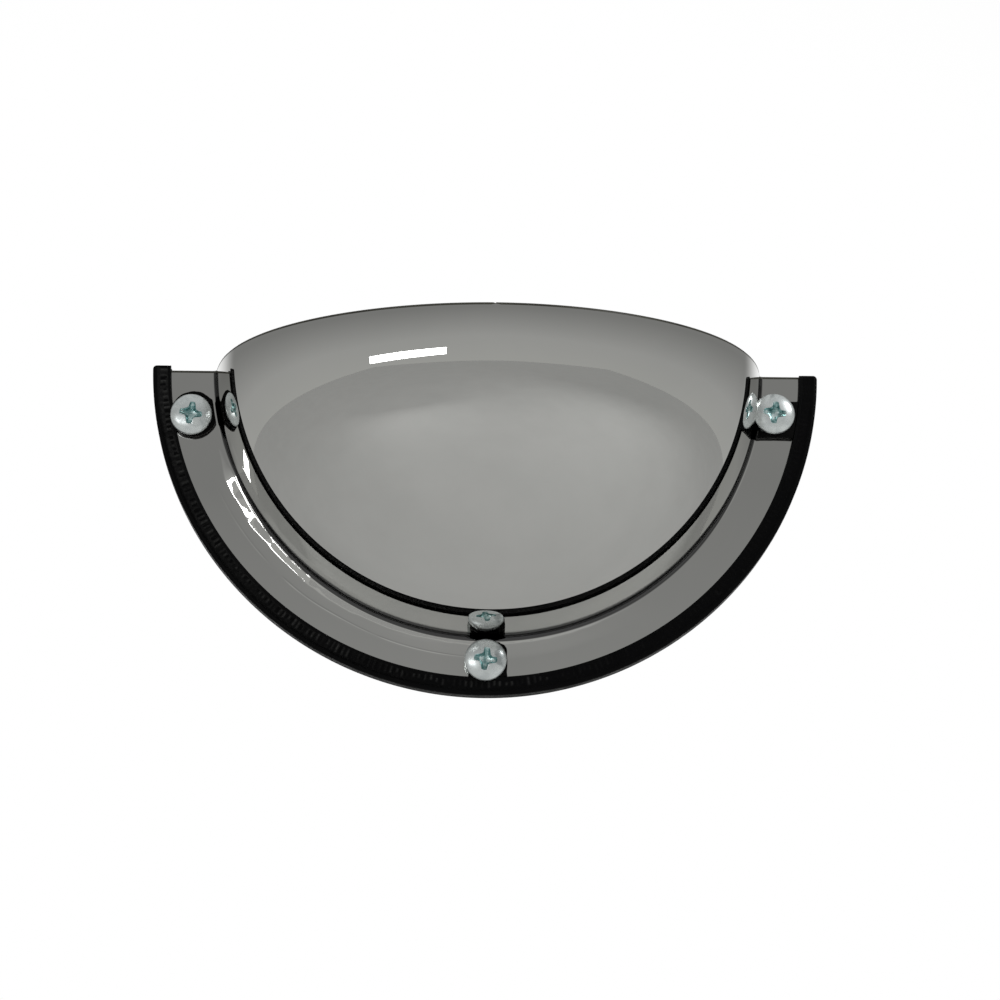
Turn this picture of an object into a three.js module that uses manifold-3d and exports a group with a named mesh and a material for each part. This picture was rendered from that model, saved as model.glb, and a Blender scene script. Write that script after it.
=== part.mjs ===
// Half-dome convex security mirror, 300 mm across, for the corner of a wall and a ceiling.
//
// Frame: millimetres, +Z up. The origin is where the wall plane, the ceiling plane and the mirror's
// plane of symmetry meet. The wall is the plane y = 0, the ceiling is z = 0, and the dome faces -Y.
// The formed sheet is a half ring (the flange) with a quarter-ellipsoid dome standing out of it.
// Round sections are revolved about the Y axis and cut off at the ceiling.

import * as THREE from 'three';
import * as BufferGeometryUtils from 'three/addons/utils/BufferGeometryUtils.js';
import Module from 'manifold-3d';

const wasm = await Module();
wasm.setup();

// ---------------------------------------------------------------- driving dimensions (mm)
const GAP = 0.3;                 // clearance between pieces that touch

// edge trim: a push-on U channel round the flange
const TRIM_R = 150;              // outer radius of the trim = half of the overall width
const TRIM_DEPTH = 8.0;          // wall plane to the front of the trim
const TRIM_LEG = 2.2;            // thickness of each leg
const TRIM_INNER_R = 141.7;      // where the legs end on the flange
const TRIM_CROWN = 2.4;          // thickness of the outer web
const TRIM_ROUND = 1.6;          // rounding of the outer corners
const TRIM_END_LEFT = 0;         // the left end touches the ceiling plane
const TRIM_END_RIGHT = -1.6;     // the right end is cut flush with the sheet

// steel clip strip moulded into the trim
const CARRIER_T = 0.5;
const CARRIER_INNER_R = 143.2;
const CARRIER_END = 1.6;         // how far it stays back from the trim's ends

// formed mirror sheet
const SHEET_T = 3.0;             // acrylic thickness at the flange
const APEX_T = 2.2;              // thinned by forming at the front of the dome
const SHEET_TOP = -1.6;          // top edge of the sheet below the ceiling plane
const SHEET_BACK = -(TRIM_LEG + GAP);            // back face of the flange
const SHEET_FRONT = SHEET_BACK - SHEET_T;        // front face of the flange
const SHEET_R = TRIM_R - TRIM_CROWN - GAP;       // outer radius of the flange
const DOME_R = 121.3;            // dome radius at its base
const DOME_H = 102.4;            // dome depth in front of the flange
const DOME_N = 1.95;             // superellipse exponent of the dome's section
const FOLD_R = 2.8;              // hollow radius between flange and dome
const HOLE_R = 2.9;              // fixing holes

// fixing screws: where each one stands (x, z)
const FIXINGS = {
  left: [-132.0, -23.4],
  right: [129.8, -20.4],
  bottom: [0.0, -134.4],
};
const HEAD_R = 9.3;
const HEAD_H = 4.2;
const HEAD_RIM = 1.3;            // height of the rim under the domed top
const SHANK_R = 2.4;
const SHANK_END = 28.0;          // tip of the screw behind the wall plane
const RECESS_SPAN = 10.0;        // cross recess, end to end
const RECESS_W = 2.7;
const RECESS_D = 2.4;

// rubber pads between the flange and the screw heads
const PAD_T = 2.5;
const PAD_FRONT = SHEET_FRONT - GAP - PAD_T;
const PAD_IN_R = 124.8;          // clears the fold
const PAD_OUT_R = 141.2;         // clears the trim
const PAD_W = 17.4;              // width of the square-sided pads
const PAD_ROUND_R = 10.5;        // radius of the round-ended pad
const HEAD_SEAT = PAD_FRONT - GAP;               // underside of the screw heads

// spacers behind the flange and plugs in the wall
const SPACER_R = 7.0;
const PLUG_R = 4.0;
const PLUG_BORE_R = SHANK_R + GAP;
const PLUG_LEN = 30.0;
const PLUG_SET = 2.3;            // the plugs are set this far below the wall's face

// fineness
const TURN = 96;                 // steps in a full turn of the large revolved pieces
const DOME_STEPS = 12;

// ---------------------------------------------------------------- helpers
function solid(geometry) {
  const g = geometry.clone();
  for (const name of Object.keys(g.attributes)) if (name !== 'position') g.deleteAttribute(name);
  const m = BufferGeometryUtils.mergeVertices(g, 1e-4);
  const p = m.attributes.position.array;
  let index = Array.from(m.index.array);
  const keep = [];
  for (let i = 0; i < index.length; i += 3) {
    const [a, b, c] = [index[i], index[i + 1], index[i + 2]];
    if (a !== b && b !== c && c !== a) keep.push(a, b, c);
  }
  index = keep;
  let volume = 0;
  for (let i = 0; i < index.length; i += 3) {
    const [a, b, c] = [index[i] * 3, index[i + 1] * 3, index[i + 2] * 3];
    volume += p[a] * (p[b + 1] * p[c + 2] - p[b + 2] * p[c + 1])
      - p[a + 1] * (p[b] * p[c + 2] - p[b + 2] * p[c])
      + p[a + 2] * (p[b] * p[c + 1] - p[b + 1] * p[c]);
  }
  if (volume < 0) for (let i = 0; i < index.length; i += 3) [index[i + 1], index[i + 2]] = [index[i + 2], index[i + 1]];
  return new wasm.Manifold(new wasm.Mesh({
    numProp: 3, vertProperties: new Float32Array(p), triVerts: new Uint32Array(index),
  }));
}

function geometryOf(manifold) {
  const mesh = manifold.getMesh();
  const g = new THREE.BufferGeometry();
  g.setAttribute('position', new THREE.BufferAttribute(new Float32Array(mesh.vertProperties), 3));
  g.setIndex(new THREE.BufferAttribute(new Uint32Array(mesh.triVerts), 1));
  g.computeVertexNormals();
  return g;
}

// profile points are [radius, y]
function revolve(profile, steps = TURN) {
  const closed = [...profile, profile[0]];
  return new THREE.LatheGeometry(closed.map(([r, y]) => new THREE.Vector2(r, y)), steps);
}

function revolveOnAxis(profile, steps) {
  return new THREE.LatheGeometry(profile.map(([r, y]) => new THREE.Vector2(r, y)), steps);
}

function block(x0, x1, y0, y1, z0, z1) {
  return new THREE.BoxGeometry(x1 - x0, y1 - y0, z1 - z0)
    .translate((x0 + x1) / 2, (y0 + y1) / 2, (z0 + z1) / 2);
}

// keeps what lies below the given heights, which may differ left and right
function belowCeiling(manifold, left, right) {
  const a = solid(block(-200, 0, -200, 60, left, 200));
  const b = solid(block(-0.001, 200, -200, 60, right, 200));
  return manifold.subtract(a).subtract(b);
}

function material(color, roughness, metalness) {
  return new THREE.MeshStandardMaterial({ color, roughness, metalness });
}

const root = new THREE.Group();
function add(name, manifoldOrGeometry, mat, parent = root) {
  const g = manifoldOrGeometry.isBufferGeometry ? manifoldOrGeometry : geometryOf(manifoldOrGeometry);
  const mesh = new THREE.Mesh(g, mat);
  mesh.name = name;
  parent.add(mesh);
  return mesh;
}

// ---------------------------------------------------------------- formed mirror sheet
// Front face: flange, hollow fold, then the dome up to its apex. The back face follows it at the
// local thickness of the sheet.
function domePoint(t) {          // t = 0 at the base, 1 at the apex; returns [r, height]
  const a = t * Math.PI / 2;
  return [DOME_R * Math.pow(Math.cos(a), 2 / DOME_N), DOME_H * Math.pow(Math.sin(a), 2 / DOME_N)];
}
const frontCurve = [];
{
  // the fold is tangent to the flange and meets the dome at the height of the fold radius
  let t0 = 0;
  while (domePoint(t0)[1] < FOLD_R) t0 += 0.0005;
  const rWall = domePoint(t0)[0];
  const arc = 4;
  for (let i = 0; i <= arc; i++) {
    const a = -Math.PI / 2 - (i / arc) * (Math.PI / 2);
    frontCurve.push([rWall + FOLD_R + FOLD_R * Math.cos(a), FOLD_R + FOLD_R * Math.sin(a)]);
  }
  for (let i = 1; i <= DOME_STEPS; i++) frontCurve.push(domePoint(t0 + (1 - t0) * i / DOME_STEPS));
  frontCurve[frontCurve.length - 1] = [0, DOME_H];
}
const backCurve = frontCurve.map((p, i) => {
  const q = frontCurve[Math.max(0, i - 1)];
  const s = frontCurve[Math.min(frontCurve.length - 1, i + 1)];
  let tx = s[0] - q[0], ty = s[1] - q[1];
  if (i === 0) { tx = -1; ty = 0; }
  if (i === frontCurve.length - 1) { tx = -1; ty = 0; }
  const l = Math.hypot(tx, ty);
  const k = Math.max(0, p[1]) / DOME_H;
  const thickness = SHEET_T + (APEX_T - SHEET_T) * Math.pow(k, 0.7);
  // the inside of the curve lies towards the axis and the wall
  const nx = -ty / l, ny = tx / l;
  return [Math.max(0, p[0] + nx * thickness), p[1] + ny * thickness];
});
backCurve[backCurve.length - 1] = [0, DOME_H - APEX_T];
const sheetProfile = [
  [0, SHEET_FRONT - DOME_H],
  ...frontCurve.slice(0, -1).reverse().map(([r, h]) => [r, SHEET_FRONT - h]),
  [SHEET_R - 0.3, SHEET_FRONT],
  [SHEET_R, SHEET_FRONT + 0.3],
  [SHEET_R, SHEET_BACK - 0.3],
  [SHEET_R - 0.3, SHEET_BACK],
  ...backCurve.slice(0, -1).map(([r, h]) => [r, SHEET_FRONT - h]),
  [0, SHEET_FRONT - (DOME_H - APEX_T)],
];
let sheet = belowCeiling(solid(revolveOnAxis(sheetProfile, TURN)), SHEET_TOP, SHEET_TOP);
for (const [x, z] of Object.values(FIXINGS)) {
  sheet = sheet.subtract(solid(new THREE.CylinderGeometry(HOLE_R, HOLE_R, 20, 20).translate(x, SHEET_FRONT, z)));
}
add('mirror_dome', sheet, material(0x8f8f8b, 0.05, 1.0));

// ---------------------------------------------------------------- edge trim and its steel strip
function roundedCorner(r, y, radius, fromAngle, steps = 3) {
  // points of an outer corner whose arc centre is (r, y)
  const out = [];
  for (let i = 0; i <= steps; i++) {
    const a = fromAngle + (i / steps) * (Math.PI / 2);
    out.push([r + radius * Math.cos(a), y + radius * Math.sin(a)]);
  }
  return out;
}
const slotBack = -TRIM_LEG, slotFront = -(TRIM_DEPTH - TRIM_LEG);
const trimProfile = [
  [TRIM_INNER_R + 0.5, -TRIM_DEPTH],
  ...roundedCorner(TRIM_R - TRIM_ROUND, -TRIM_DEPTH + TRIM_ROUND, TRIM_ROUND, -Math.PI / 2),
  ...roundedCorner(TRIM_R - TRIM_ROUND, -TRIM_ROUND, TRIM_ROUND, 0),
  [TRIM_INNER_R + 0.5, 0],
  [TRIM_INNER_R, -0.5],
  [TRIM_INNER_R, slotBack],
  [TRIM_R - TRIM_CROWN, slotBack],
  [TRIM_R - TRIM_CROWN, slotFront],
  [TRIM_INNER_R, slotFront],
  [TRIM_INNER_R, -TRIM_DEPTH + 0.5],
];
// middle line of the strip, and the channel it lies in, as U sections with cut corners
function uSection(inner, outer, back, front, t, cut) {
  return [
    [inner, front], [outer - cut, front], [outer, front + cut], [outer, back - cut], [outer - cut, back], [inner, back],
    [inner, back - t], [outer - t - cut * 0.5, back - t], [outer - t, back - t - cut * 0.5],
    [outer - t, front + t + cut * 0.5], [outer - t - cut * 0.5, front + t], [inner, front + t],
  ];
}
const LEG_MID = TRIM_LEG / 2;
const webMid = TRIM_R - TRIM_CROWN / 2;
const strip = uSection(CARRIER_INNER_R, webMid + CARRIER_T / 2, -LEG_MID + CARRIER_T / 2,
  -TRIM_DEPTH + LEG_MID - CARRIER_T / 2, CARRIER_T, 0.9);
const channel = uSection(CARRIER_INNER_R - GAP, webMid + CARRIER_T / 2 + GAP, -LEG_MID + CARRIER_T / 2 + GAP,
  -TRIM_DEPTH + LEG_MID - CARRIER_T / 2 - GAP, CARRIER_T + 2 * GAP, 1.1);
const trim = belowCeiling(
  solid(revolve(trimProfile)).subtract(solid(revolve(channel))),
  TRIM_END_LEFT, TRIM_END_RIGHT,
);
add('edge_trim', trim, material(0x161616, 0.7, 0.0));
add('trim_steel_carrier', belowCeiling(solid(revolve(strip)), TRIM_END_LEFT - CARRIER_END, TRIM_END_RIGHT - CARRIER_END),
  material(0x9a9ca0, 0.45, 1.0));

// ---------------------------------------------------------------- pads under the screw heads
function between(r0, r1, y0, y1) {
  return solid(revolve([[r0, y0], [r1, y0], [r1, y1], [r0, y1]], 192));
}
const padRing = () => between(PAD_IN_R, PAD_OUT_R, PAD_FRONT, SHEET_FRONT - GAP);
const padHole = ([x, z]) => solid(new THREE.CylinderGeometry(HOLE_R, HOLE_R, 20, 20).translate(x, SHEET_FRONT, z));
const rubber = () => material(0x0d0d0d, 0.75, 0.0);
const padBlocks = {
  left: solid(new THREE.CylinderGeometry(PAD_ROUND_R, PAD_ROUND_R, 30, 40)
    .translate(FIXINGS.left[0] + 0.6, SHEET_FRONT, FIXINGS.left[1] + 0.9)),
  right: solid(block(110, 150, -20, 5, FIXINGS.right[1] - 2.2 - PAD_W / 2, FIXINGS.right[1] - 2.2 + PAD_W / 2)),
  bottom: solid(block(0.7 - PAD_W / 2, 0.7 + PAD_W / 2, -20, 5, -150, -110)),
};
for (const [side, blockSolid] of Object.entries(padBlocks)) {
  add(`rubber_pad_${side}`, padRing().intersect(blockSolid).subtract(padHole(FIXINGS[side])), rubber());
}

// ---------------------------------------------------------------- screws, spacers and wall plugs
function screw() {
  // revolved about Y with the head towards -Y, centred on the axis
  const dome = [];
  const n = 5;
  for (let i = 0; i <= n; i++) {
    const a = (i / n) * Math.PI / 2;
    dome.push([HEAD_R * Math.cos(a), HEAD_SEAT - HEAD_RIM - (HEAD_H - HEAD_RIM) * Math.sin(a)]);
  }
  dome[n][0] = 0;
  const profile = [
    ...dome.reverse(),
    [HEAD_R, HEAD_SEAT - 0.25],
    [HEAD_R - 0.25, HEAD_SEAT],
    [SHANK_R, HEAD_SEAT],
    [SHANK_R, SHANK_END - 6],
    [0.5, SHANK_END],
    [0, SHANK_END],
  ];
  let body = solid(revolveOnAxis(profile, 32));
  const top = HEAD_SEAT - HEAD_H;
  for (const turn of [0, Math.PI / 2]) {
    // a wing of the cross: wide at the face, narrower at the bottom
    const wing = new THREE.Shape([
      new THREE.Vector2(-RECESS_SPAN / 2, -3), new THREE.Vector2(RECESS_SPAN / 2, -3),
      new THREE.Vector2(RECESS_SPAN / 2, 0), new THREE.Vector2(RECESS_SPAN * 0.22, RECESS_D),
      new THREE.Vector2(-RECESS_SPAN * 0.22, RECESS_D), new THREE.Vector2(-RECESS_SPAN / 2, 0),
    ]);
    const g = new THREE.ExtrudeGeometry(wing, { depth: RECESS_W, bevelEnabled: false });
    g.translate(0, 0, -RECESS_W / 2).rotateY(turn).translate(0, top + 0.55, 0);
    body = body.subtract(solid(g));
  }
  return body;
}
function plug() {
  const y0 = PLUG_SET;
  let body = solid(revolve([
    [PLUG_BORE_R, y0], [PLUG_R, y0], [PLUG_R, y0 + PLUG_LEN - 3], [PLUG_R - 0.9, y0 + PLUG_LEN], [PLUG_BORE_R, y0 + PLUG_LEN],
  ], 24));
  for (const turn of [Math.PI / 4, -Math.PI / 4]) {
    const slot = new THREE.BoxGeometry(1.1, 17, 20).rotateY(turn).translate(0, y0 + 18, 0);
    body = body.subtract(solid(slot));
  }
  return body;
}
const screwGeometry = geometryOf(screw());
const plugGeometry = geometryOf(plug());
const spacerGeometry = geometryOf(solid(revolve([
  [HOLE_R, SHEET_BACK + GAP], [SPACER_R - 0.3, SHEET_BACK + GAP], [SPACER_R, SHEET_BACK + GAP + 0.3],
  [SPACER_R, -0.3], [SPACER_R - 0.3, 0], [HOLE_R, 0],
], 24)));
for (const [side, [x, z]] of Object.entries(FIXINGS)) {
  const station = new THREE.Group();
  station.position.set(x, 0, z);
  root.add(station);
  add(`screw_${side}`, screwGeometry.clone(), material(0xc9cdcf, 0.3, 1.0), station);
  add(`rear_spacer_${side}`, spacerGeometry.clone(), rubber(), station);
  add(`wall_plug_${side}`, plugGeometry.clone(), material(0x9b9d9c, 0.55, 0.0), station);
}

export default root;
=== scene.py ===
import math

import bpy
import bmesh
import numpy as np
from mathutils import Matrix, Vector


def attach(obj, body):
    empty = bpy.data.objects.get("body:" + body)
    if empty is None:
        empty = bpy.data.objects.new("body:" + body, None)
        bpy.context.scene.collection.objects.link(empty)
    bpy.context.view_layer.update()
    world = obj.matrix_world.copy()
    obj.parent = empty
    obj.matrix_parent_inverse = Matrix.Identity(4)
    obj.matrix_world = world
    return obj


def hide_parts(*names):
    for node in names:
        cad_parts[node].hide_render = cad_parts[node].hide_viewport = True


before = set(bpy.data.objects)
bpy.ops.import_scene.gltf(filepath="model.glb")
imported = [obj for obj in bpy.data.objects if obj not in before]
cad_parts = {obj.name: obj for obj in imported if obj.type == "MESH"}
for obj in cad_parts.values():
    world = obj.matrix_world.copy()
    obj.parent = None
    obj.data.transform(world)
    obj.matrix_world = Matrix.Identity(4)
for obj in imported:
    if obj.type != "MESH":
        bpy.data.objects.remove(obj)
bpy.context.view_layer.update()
scene = bpy.context.scene
PI = math.pi

# ------------------------------------------------------------------ driving dimensions (mm), as in the CAD
TRIM_R, TRIM_DEPTH, TRIM_LEG, TRIM_INNER_R, TRIM_CROWN = 150.0, 8.0, 2.2, 141.7, 2.4
TRIM_END_LEFT, TRIM_END_RIGHT = 0.0, -1.6
SHEET_T, APEX_T, SHEET_TOP, SHEET_BACK, SHEET_FRONT, SHEET_R = 3.0, 2.2, -1.6, -2.5, -5.5, 147.3
DOME_R, DOME_H, DOME_N, FOLD_R, HOLE_R = 121.3, 102.4, 1.95, 1.7, 2.9
FIXINGS = {"left": (-132.0, -23.4), "right": (129.8, -20.4), "bottom": (0.0, -134.4)}
HEAD_R, HEAD_H, HEAD_RIM, HEAD_SEAT = 9.3, 4.2, 1.3, -8.6
SHANK_R, SHANK_END = 2.4, 28.0
PAD_BACK, PAD_FRONT = -5.8, -8.3
SPACER_R, PLUG_R, PLUG_BORE, PLUG_Y0, PLUG_LEN = 7.0, 4.0, 2.7, 2.3, 30.0


# ------------------------------------------------------------------ camera
def make_camera():
    cam = bpy.data.objects.new("Camera", bpy.data.cameras.new("Camera"))
    scene.collection.objects.link(cam)
    c = Vector((-0.03824, -1.35346, -0.41712))
    yaw, pitch, roll = 0.03312373, 0.25843457, 0.00123753
    fw = Vector((math.sin(yaw) * math.cos(pitch), math.cos(yaw) * math.cos(pitch), math.sin(pitch)))
    r0 = Vector((math.cos(yaw), -math.sin(yaw), 0.0))
    u0 = r0.cross(fw)
    right = r0 * math.cos(roll) + u0 * math.sin(roll)
    up = -r0 * math.sin(roll) + u0 * math.cos(roll)
    m = Matrix((
        (right.x, up.x, -fw.x, c.x),
        (right.y, up.y, -fw.y, c.y),
        (right.z, up.z, -fw.z, c.z),
        (0, 0, 0, 1),
    ))
    cam.matrix_world = m
    cam.data.sensor_width = 36.0
    cam.data.lens = 112.345
    cam.data.clip_start, cam.data.clip_end = 0.01, 60.0
    scene.camera = cam
    return cam


make_camera()
scene.view_settings.view_transform = "Standard"
scene.view_settings.look = "None"
scene.view_settings.exposure = 0.0
scene.view_settings.gamma = 1.0


# ------------------------------------------------------------------ small helpers
def lin(v):
    v = v / 255.0
    return v / 12.92 if v <= 0.04045 else ((v + 0.055) / 1.055) ** 2.4


def rgb(r, g, b):
    return (lin(r), lin(g), lin(b), 1.0)


def make(name, verts, faces, mats=(), face_mats=None, smooth=True, normals=None, sharp_deg=None):
    """A mesh object from millimetre points."""
    me = bpy.data.meshes.new(name)
    v = np.asarray(verts, float) * 0.001
    me.from_pydata(v.tolist(), [], [list(map(int, f)) for f in faces])
    for m in mats:
        me.materials.append(m)
    if face_mats is not None:
        me.polygons.foreach_set("material_index", np.asarray(face_mats, np.int32))
    me.polygons.foreach_set("use_smooth", np.full(len(me.polygons), bool(smooth)))
    me.update()
    if sharp_deg is not None:
        me.set_sharp_from_angle(angle=math.radians(sharp_deg))
    if normals is not None:
        me.normals_split_custom_set_from_vertices(np.asarray(normals, float).tolist())
    ob = bpy.data.objects.new(name, me)
    scene.collection.objects.link(ob)
    return ob


def apply_modifiers(ob):
    dg = bpy.context.evaluated_depsgraph_get()
    me = bpy.data.meshes.new_from_object(ob.evaluated_get(dg))
    old = ob.data
    ob.modifiers.clear()
    ob.data = me
    me.name = old.name
    bpy.data.meshes.remove(old)
    return ob


def boolean_cut(ob, cutters):
    for c in cutters:
        m = ob.modifiers.new("cut", "BOOLEAN")
        m.operation, m.solver, m.object = "DIFFERENCE", "EXACT", c
    bpy.context.view_layer.update()
    apply_modifiers(ob)
    for c in cutters:
        bpy.data.objects.remove(c)
    return ob


def lathe_y(name, profile, steps, centre=(0.0, 0.0), mats=(), sharp_deg=35, face_mat=None):
    """Revolves [radius, y] points about a line along Y through centre (x, z). Closed where the radius is 0."""
    verts, faces, fm, rings = [], [], [], []
    for r, y in profile:
        if r <= 1e-9:
            rings.append([len(verts)])
            verts.append((centre[0], y, centre[1]))
        else:
            rings.append(list(range(len(verts), len(verts) + steps)))
            for k in range(steps):
                a = 2 * PI * k / steps
                verts.append((centre[0] + r * math.cos(a), y, centre[1] + r * math.sin(a)))
    for i in range(len(rings) - 1):
        a, b = rings[i], rings[i + 1]
        for k in range(steps):
            k2 = (k + 1) % steps
            if len(a) == 1 and len(b) == 1:
                continue
            if len(a) == 1:
                faces.append((a[0], b[k], b[k2]))
            elif len(b) == 1:
                faces.append((a[k], b[0], a[k2]))
            else:
                faces.append((a[k], b[k], b[k2], a[k2]))
            fm.append(0 if face_mat is None else face_mat(i))
    ob = make(name, verts, faces, mats, fm, True, None, None)
    bm = bmesh.new()
    bm.from_mesh(ob.data)
    bmesh.ops.recalc_face_normals(bm, faces=bm.faces)
    bm.to_mesh(ob.data)
    bm.free()
    if sharp_deg is not None:
        ob.data.set_sharp_from_angle(angle=math.radians(sharp_deg))
    return ob


def value_noise(seed):
    rnd = np.random.RandomState(seed)
    table = rnd.rand(4096) * 2 - 1

    def f(x):
        x = np.asarray(x, float)
        i = np.floor(x).astype(int)
        t = x - i
        t = t * t * (3 - 2 * t)
        return table[i % 4096] * (1 - t) + table[(i + 1) % 4096] * t
    return f


# ------------------------------------------------------------------ materials
class Mat:
    """A thin wrapper that builds node materials."""

    def __init__(self, name):
        self.m = bpy.data.materials.new(name)
        self.m.use_nodes = True
        self.t = self.m.node_tree
        self.t.nodes.clear()
        self.out = self.t.nodes.new("ShaderNodeOutputMaterial")
        self.coord = None

    def node(self, kind, **inputs):
        n = self.t.nodes.new(kind)
        for k, v in inputs.items():
            key = k.replace("_", " ")
            if hasattr(n, k) and not isinstance(getattr(n, k), bpy.types.bpy_prop_collection):
                setattr(n, k, v)
            else:
                n.inputs[key].default_value = v
        return n

    def link(self, a, b):
        self.t.links.new(a, b)

    def obj_coord(self, scale=(1, 1, 1)):
        if self.coord is None:
            self.coord = self.t.nodes.new("ShaderNodeTexCoord")
        mp = self.t.nodes.new("ShaderNodeMapping")
        mp.inputs["Scale"].default_value = scale
        self.link(self.coord.outputs["Object"], mp.inputs["Vector"])
        return mp.outputs["Vector"]

    def noise(self, scale, detail=3.0, rough=0.55, stretch=(1, 1, 1), distortion=0.0):
        n = self.t.nodes.new("ShaderNodeTexNoise")
        n.inputs["Scale"].default_value = scale
        n.inputs["Detail"].default_value = detail
        n.inputs["Roughness"].default_value = rough
        n.inputs["Distortion"].default_value = distortion
        self.link(self.obj_coord(stretch), n.inputs["Vector"])
        return n.outputs["Fac"]

    def ramp(self, fac, stops):
        r = self.t.nodes.new("ShaderNodeValToRGB")
        cr = r.color_ramp
        while len(cr.elements) > 1:
            cr.elements.remove(cr.elements[-1])
        cr.elements[0].position, cr.elements[0].color = stops[0][0], stops[0][1]
        for p, c in stops[1:]:
            e = cr.elements.new(p)
            e.color = c
        self.link(fac, r.inputs["Fac"])
        return r.outputs["Color"]

    def grey(self, fac, stops):
        return self.ramp(fac, [(p, (v, v, v, 1)) for p, v in stops])

    def mix(self, fac, a, b, mode="MIX"):
        n = self.t.nodes.new("ShaderNodeMix")
        n.data_type, n.blend_type = "RGBA", mode
        ins = {i.identifier: i for i in n.inputs}
        for key, v in (("Factor_Float", fac), ("A_Color", a), ("B_Color", b)):
            if isinstance(v, bpy.types.NodeSocket):
                self.link(v, ins[key])
            else:
                ins[key].default_value = v
        return next(o for o in n.outputs if o.identifier == "Result_Color")

    def math(self, op, a, b=0.0, clamp=False):
        n = self.t.nodes.new("ShaderNodeMath")
        n.operation, n.use_clamp = op, clamp
        for i, v in enumerate((a, b)):
            if isinstance(v, bpy.types.NodeSocket):
                self.link(v, n.inputs[i])
            else:
                n.inputs[i].default_value = v
        return n.outputs[0]

    def bump(self, height, strength, distance, normal=None):
        n = self.t.nodes.new("ShaderNodeBump")
        n.inputs["Strength"].default_value = strength
        n.inputs["Distance"].default_value = distance
        self.link(height, n.inputs["Height"])
        if normal is not None:
            self.link(normal, n.inputs["Normal"])
        return n.outputs["Normal"]

    def edge_wear(self):
        g = self.t.nodes.new("ShaderNodeNewGeometry")
        return g.outputs["Pointiness"]

    def principled(self, colour, rough, metallic=0.0, normal=None, **sockets):
        p = self.t.nodes.new("ShaderNodeBsdfPrincipled")
        for key, v in (("Base Color", colour), ("Roughness", rough), ("Metallic", metallic)):
            if isinstance(v, bpy.types.NodeSocket):
                self.link(v, p.inputs[key])
            else:
                p.inputs[key].default_value = v
        if normal is not None:
            self.link(normal, p.inputs["Normal"])
        for k, v in sockets.items():
            p.inputs[k.replace("_", " ")].default_value = v
        self.link(p.outputs[0], self.out.inputs["Surface"])
        return self.m


def mat_mirror():
    m = Mat("mirror_face")
    smudge = m.noise(9, 5, 0.6, distortion=0.6)
    wipe = m.noise(60, 4, 0.6, stretch=(1, 1, 0.35))
    fine = m.noise(700, 2, 0.5)
    r = m.grey(m.math("MULTIPLY", smudge, wipe), [(0.12, 0.004), (0.3, 0.008), (0.48, 0.03)])
    c = m.ramp(smudge, [(0.3, (0.625, 0.63, 0.615, 1)), (0.7, (0.665, 0.665, 0.65, 1))])
    c = m.mix(m.grey(fine, [(0.72, 0.0), (0.82, 0.16)]), c, (0.5, 0.5, 0.48, 1))
    # painted shade: a dark line painted into the mirror colour along the crease between flange and dome
    at = m.t.nodes.new("ShaderNodeAttribute")
    at.attribute_name = "FoldPaintedShade"
    c = m.mix(at.outputs["Fac"], c, (0.05, 0.05, 0.052, 1))
    wave = m.noise(16, 1.5, 0.45)
    n = m.bump(wave, 0.14, 0.0004)
    return m.principled(c, r, 1.0, n)


def mat_sheet_edge():
    m = Mat("mirror_cut_edge")
    saw = m.noise(260, 3, 0.6, stretch=(0.15, 1, 1))
    c = m.ramp(saw, [(0.3, rgb(38, 38, 30)), (0.7, rgb(66, 66, 54))])
    return m.principled(c, m.grey(saw, [(0.3, 0.28), (0.7, 0.5)]), 0.0, m.bump(saw, 0.35, 0.0002))


def mat_back_paint():
    m = Mat("mirror_back_paint")
    orange = m.noise(420, 3, 0.5)
    cloud = m.noise(14, 4, 0.6)
    scuff = m.noise(90, 6, 0.75, stretch=(1, 1, 0.2), distortion=1.2)
    c = m.ramp(cloud, [(0.3, rgb(92, 95, 97)), (0.7, rgb(112, 114, 115))])
    c = m.mix(m.grey(scuff, [(0.6, 0.0), (0.72, 0.5)]), c, rgb(138, 140, 140))
    n = m.bump(orange, 0.3, 0.0002)
    return m.principled(c, m.grey(cloud, [(0.3, 0.42), (0.7, 0.58)]), 0.0, n)


def mat_rubber(name, dark, light, grain, dust=0.25, rib=False, rough=(0.42, 0.66)):
    m = Mat(name)
    g = m.noise(grain, 4, 0.65)
    cloud = m.noise(22, 5, 0.65, distortion=0.5)
    c = m.ramp(g, [(0.3, dark), (0.75, light)])
    wear = m.grey(m.edge_wear(), [(0.5, 0.0), (0.62, 1.0)])
    c = m.mix(m.math("MULTIPLY", wear, 0.12), c, rgb(44, 44, 44))
    c = m.mix(m.math("MULTIPLY", m.grey(cloud, [(0.55, 0.0), (0.8, 1.0)]), dust), c, rgb(30, 29, 28))
    if rib:
        # painted light: light grey highlight dashes painted on the trim's rib crests, and the front face painted
        # lighter towards its left end
        at = m.t.nodes.new("ShaderNodeAttribute")
        at.attribute_name = "PaintedTrimLight"
        painted_light_speck = m.grey(m.noise(1100, 3, 0.7), [(0.35, 0.35), (0.6, 1.0)])
        c = m.mix(m.math("MULTIPLY", at.outputs["Fac"], painted_light_speck), c, rgb(104, 104, 103))
    r = m.grey(m.noise(130, 4, 0.6), [(0.3, rough[0]), (0.7, rough[1])])
    n = m.bump(g, 0.45, 0.00025)
    n = m.bump(cloud, 0.2, 0.0006, n)
    return m.principled(c, r, 0.0, n, Specular_IOR_Level=0.06)


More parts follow.
